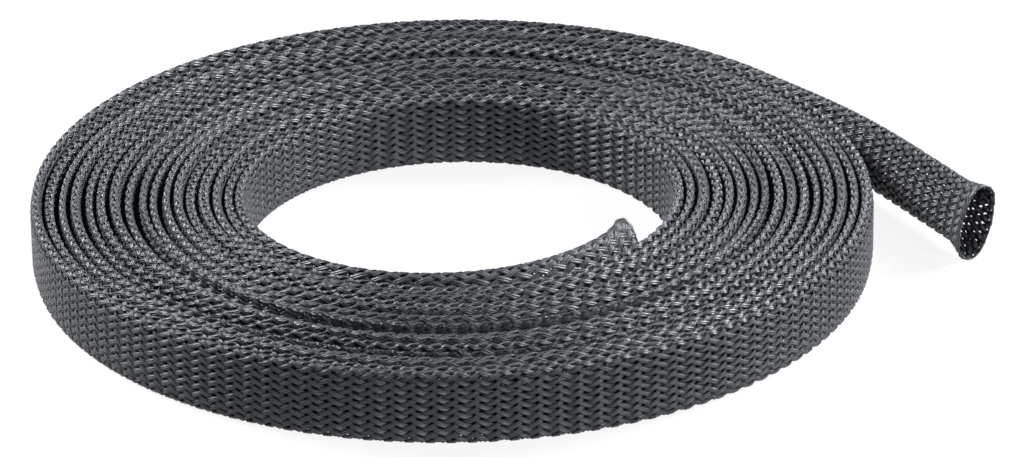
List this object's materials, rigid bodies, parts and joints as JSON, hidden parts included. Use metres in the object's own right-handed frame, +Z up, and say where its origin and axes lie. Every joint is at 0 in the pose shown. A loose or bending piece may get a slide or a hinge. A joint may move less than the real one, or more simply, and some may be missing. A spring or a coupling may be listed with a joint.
{
  "type": "braided cable sleeve",
  "caption": "Expandable braided plastic cable sleeve, pressed flat and wound on edge into a flat coil, its outer end lying free with an open oval mouth.",
  "frame": {"origin": "middle of the bounding box, on the floor that the coil lies on", "axes": "+Z up, along the coil's axis; +X the way the free end's mouth opens"},
  "size_m": [0.1254, 0.1312, 0.0117],
  "materials": {
    "braid": "fine dark grey plastic strands, slightly glossy"
  },
  "bodies": {
    "root": {"braided_sleeve": "braid"}
  },
  "joints": []
}
